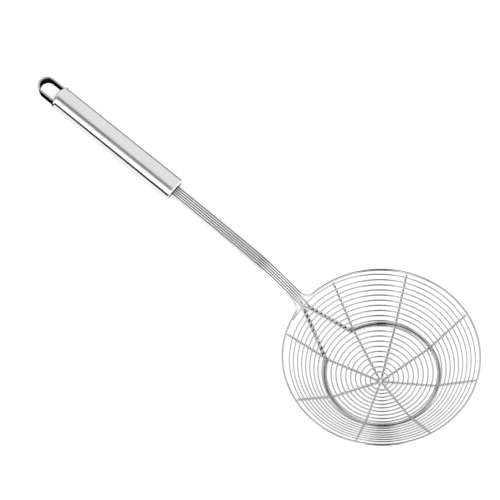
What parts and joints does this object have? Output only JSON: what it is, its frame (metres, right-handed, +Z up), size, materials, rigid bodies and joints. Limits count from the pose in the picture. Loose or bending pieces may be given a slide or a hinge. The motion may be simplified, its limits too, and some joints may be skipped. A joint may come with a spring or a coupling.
{
  "type": "spider skimmer",
  "caption": "Long-handled stainless steel skimmer: a shallow bowl of spiral wire bound by ribs, on a row of bent wires that run into a hollow grip with a hanging loop",
  "frame": {"origin": "on the surface that the skimmer lies on, under the middle of its bounding box", "axes": "+X runs from the bowl to the hanging loop, +Y across the handle, +Z up from the surface"},
  "size_m": [0.3756, 0.1398, 0.0588],
  "materials": {
    "drawn_steel_wire": "polished",
    "grip_steel": "brushed",
    "strap_steel": "polished"
  },
  "bodies": {
    "root": {"grip_shell": "grip_steel", "grip_end_plate": "strap_steel", "hanging_loop": "strap_steel", "rim_wire": "drawn_steel_wire", "support_wire_outer": "drawn_steel_wire", "support_wire_inner": "drawn_steel_wire", "spiral_wire": "drawn_steel_wire", "rib_1_strand_a": "drawn_steel_wire", "rib_1_strand_b": "drawn_steel_wire", "rib_2_strand_a": "drawn_steel_wire", "rib_2_strand_b": "drawn_steel_wire", "rib_3_strand_a": "drawn_steel_wire", "rib_3_strand_b": "drawn_steel_wire", "rib_4_strand_a": "drawn_steel_wire", "rib_4_strand_b": "drawn_steel_wire", "rib_5_strand_a": "drawn_steel_wire", "rib_5_strand_b": "drawn_steel_wire", "rib_6_strand_a": "drawn_steel_wire", "rib_6_strand_b": "drawn_steel_wire", "rib_7_strand_a": "drawn_steel_wire", "rib_7_strand_b": "drawn_steel_wire", "rib_8_strand_a": "drawn_steel_wire", "rib_8_strand_b": "drawn_steel_wire"}
  },
  "joints": []
}
